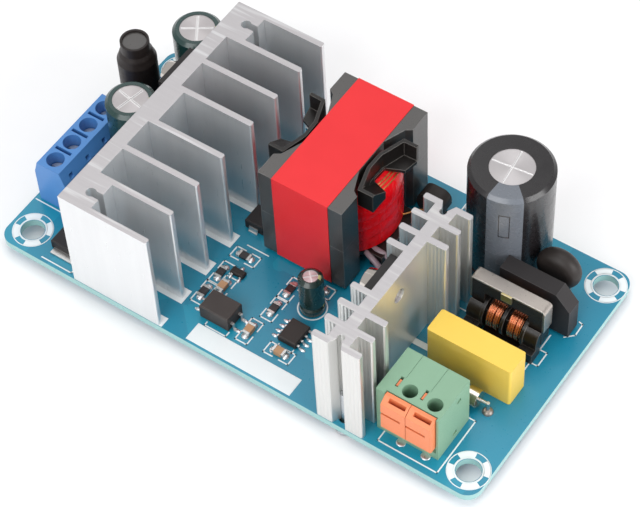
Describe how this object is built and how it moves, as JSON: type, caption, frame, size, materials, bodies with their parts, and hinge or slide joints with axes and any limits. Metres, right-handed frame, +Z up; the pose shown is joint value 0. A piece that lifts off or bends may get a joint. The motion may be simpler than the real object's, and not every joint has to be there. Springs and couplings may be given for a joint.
{
  "type": "open frame power supply",
  "caption": "Open frame AC-DC power supply: a bare circuit board with finned heatsinks, transformer, capacitors, choke, fuse and push-in and screw terminals.",
  "frame": {"origin": "centre of the four mounting holes at the underside of the board", "axes": "+X along the board towards the mains terminal, +Y across the board away from the terminals' button side, +Z up out of the component side"},
  "size_m": [0.107, 0.0571, 0.0304],
  "materials": {
    "board": "teal solder mask, glossy",
    "solder": "bright tin solder",
    "tinned": "tinned wire and sheet, satin",
    "blue_plastic": "moulded, satin",
    "steel": "zinc plated",
    "mint_plastic": "moulded, satin",
    "orange_plastic": "moulded, satin",
    "can": "drawn, bright",
    "green_sleeve": "shrink sleeve",
    "black_sleeve": "shrink sleeve",
    "seal": "moulded",
    "ferrite": "sintered, matt",
    "copper": "enamelled copper wire",
    "heatshrink": "shrunk tube, satin",
    "heatsink": "extruded, clear finish",
    "epoxy": "moulded epoxy, fine grain",
    "phenolic": "moulded phenolic",
    "red_tape": "polyester film",
    "wire_sleeve": "thin tube over copper wire",
    "yellow_box": "moulded box",
    "brown_dip": "dipped resin",
    "glass": "clear tube",
    "nickel": "nickel plated brass",
    "clip": "folded tinned steel",
    "chip_black": "glazed film on ceramic",
    "chip_tan": "sintered ceramic"
  },
  "bodies": {
    "board_assembly": {"circuit_board": "board", "solder_joints": "solder", "component_leads": "tinned", "dc_terminal_housing": "blue_plastic", "dc_terminal_pins": "tinned", "ac_terminal_housing": "mint_plastic", "ac_terminal_springs": "steel", "ac_terminal_contacts": "tinned", "output_capacitor_cans": "can", "output_capacitor_sleeves": "green_sleeve", "output_inductor_core": "ferrite", "output_inductor_winding": "copper", "output_inductor_sleeve": "heatshrink", "output_rectifier": "epoxy", "corner_transistor": "epoxy", "secondary_heatsink": "heatsink", "primary_heatsink": "heatsink", "heatsink_screws": "steel", "switching_transistor": "epoxy", "transistor_screws": "steel", "transformer_core_lower": "ferrite", "transformer_core_upper": "ferrite", "transformer_bobbin": "phenolic", "transformer_winding": "copper", "transformer_winding_tape": "red_tape", "transformer_core_tape": "red_tape", "transformer_pins": "tinned", "transformer_lead_wires": "wire_sleeve", "bulk_capacitor_can": "can", "bulk_capacitor_sleeve": "black_sleeve", "capacitor_seals": "seal", "bridge_rectifier": "epoxy", "inrush_thermistor": "brown_dip", "suppression_capacitor": "brown_dip", "choke_core": "ferrite", "choke_bobbin": "phenolic", "choke_windings": "copper", "choke_clip": "clip", "mains_capacitor": "yellow_box", "fuse_tube": "glass", "fuse_caps": "nickel", "supply_capacitor_can": "can", "supply_capacitor_sleeve": "green_sleeve", "optocoupler": "epoxy", "controller_chip": "epoxy", "small_transistor": "epoxy", "chip_diode": "epoxy", "chip_resistors": "chip_black", "chip_capacitors": "chip_tan", "chip_terminations": "tinned"},
    "output_screw_1": {"dc_terminal_screw_1": "steel"},
    "output_screw_2": {"dc_terminal_screw_2": "steel"},
    "output_screw_3": {"dc_terminal_screw_3": "steel"},
    "output_screw_4": {"dc_terminal_screw_4": "steel"},
    "output_clamp_1": {"dc_terminal_clamp_1": "steel"},
    "output_clamp_2": {"dc_terminal_clamp_2": "steel"},
    "output_clamp_3": {"dc_terminal_clamp_3": "steel"},
    "output_clamp_4": {"dc_terminal_clamp_4": "steel"},
    "mains_button_1": {"ac_terminal_button_1": "orange_plastic"},
    "mains_button_2": {"ac_terminal_button_2": "orange_plastic"}
  },
  "joints": [
    {"name": "output_screw_turn_1", "type": "hinge", "parent": "board_assembly", "child": "output_screw_1", "pos_m": [-0.04935, -0.01437, 0], "axis": [0, 0, -1], "range_deg": [0, 865]},
    {"name": "output_clamp_lift_1", "type": "slide", "parent": "board_assembly", "child": "output_clamp_1", "axis": [0, 0, 1], "range_m": [0, 0.0012]},
    {"name": "output_screw_turn_2", "type": "hinge", "parent": "board_assembly", "child": "output_screw_2", "pos_m": [-0.04935, -0.00929, 0], "axis": [0, 0, -1], "range_deg": [0, 865]},
    {"name": "output_clamp_lift_2", "type": "slide", "parent": "board_assembly", "child": "output_clamp_2", "axis": [0, 0, 1], "range_m": [0, 0.0012]},
    {"name": "output_screw_turn_3", "type": "hinge", "parent": "board_assembly", "child": "output_screw_3", "pos_m": [-0.04935, -0.00421, 0], "axis": [0, 0, -1], "range_deg": [0, 865]},
    {"name": "output_clamp_lift_3", "type": "slide", "parent": "board_assembly", "child": "output_clamp_3", "axis": [0, 0, 1], "range_m": [0, 0.0012]},
    {"name": "output_screw_turn_4", "type": "hinge", "parent": "board_assembly", "child": "output_screw_4", "pos_m": [-0.04935, 0.00087, 0], "axis": [0, 0, -1], "range_deg": [0, 865]},
    {"name": "output_clamp_lift_4", "type": "slide", "parent": "board_assembly", "child": "output_clamp_4", "axis": [0, 0, 1], "range_m": [0, 0.0012]},
    {"name": "mains_button_press_1", "type": "slide", "parent": "board_assembly", "child": "mains_button_1", "axis": [0, 0, -1], "range_m": [0, 0.0015], "stiffness_N_per_m": 2500},
    {"name": "mains_button_press_2", "type": "slide", "parent": "board_assembly", "child": "mains_button_2", "axis": [0, 0, -1], "range_m": [0, 0.0015], "stiffness_N_per_m": 2500}
  ],
  "couplings": [
    {"joint": "output_screw_turn_1", "follows": "output_clamp_lift_1", "rad_per_m": 12566},
    {"joint": "output_screw_turn_2", "follows": "output_clamp_lift_2", "rad_per_m": 12566},
    {"joint": "output_screw_turn_3", "follows": "output_clamp_lift_3", "rad_per_m": 12566},
    {"joint": "output_screw_turn_4", "follows": "output_clamp_lift_4", "rad_per_m": 12566}
  ]
}
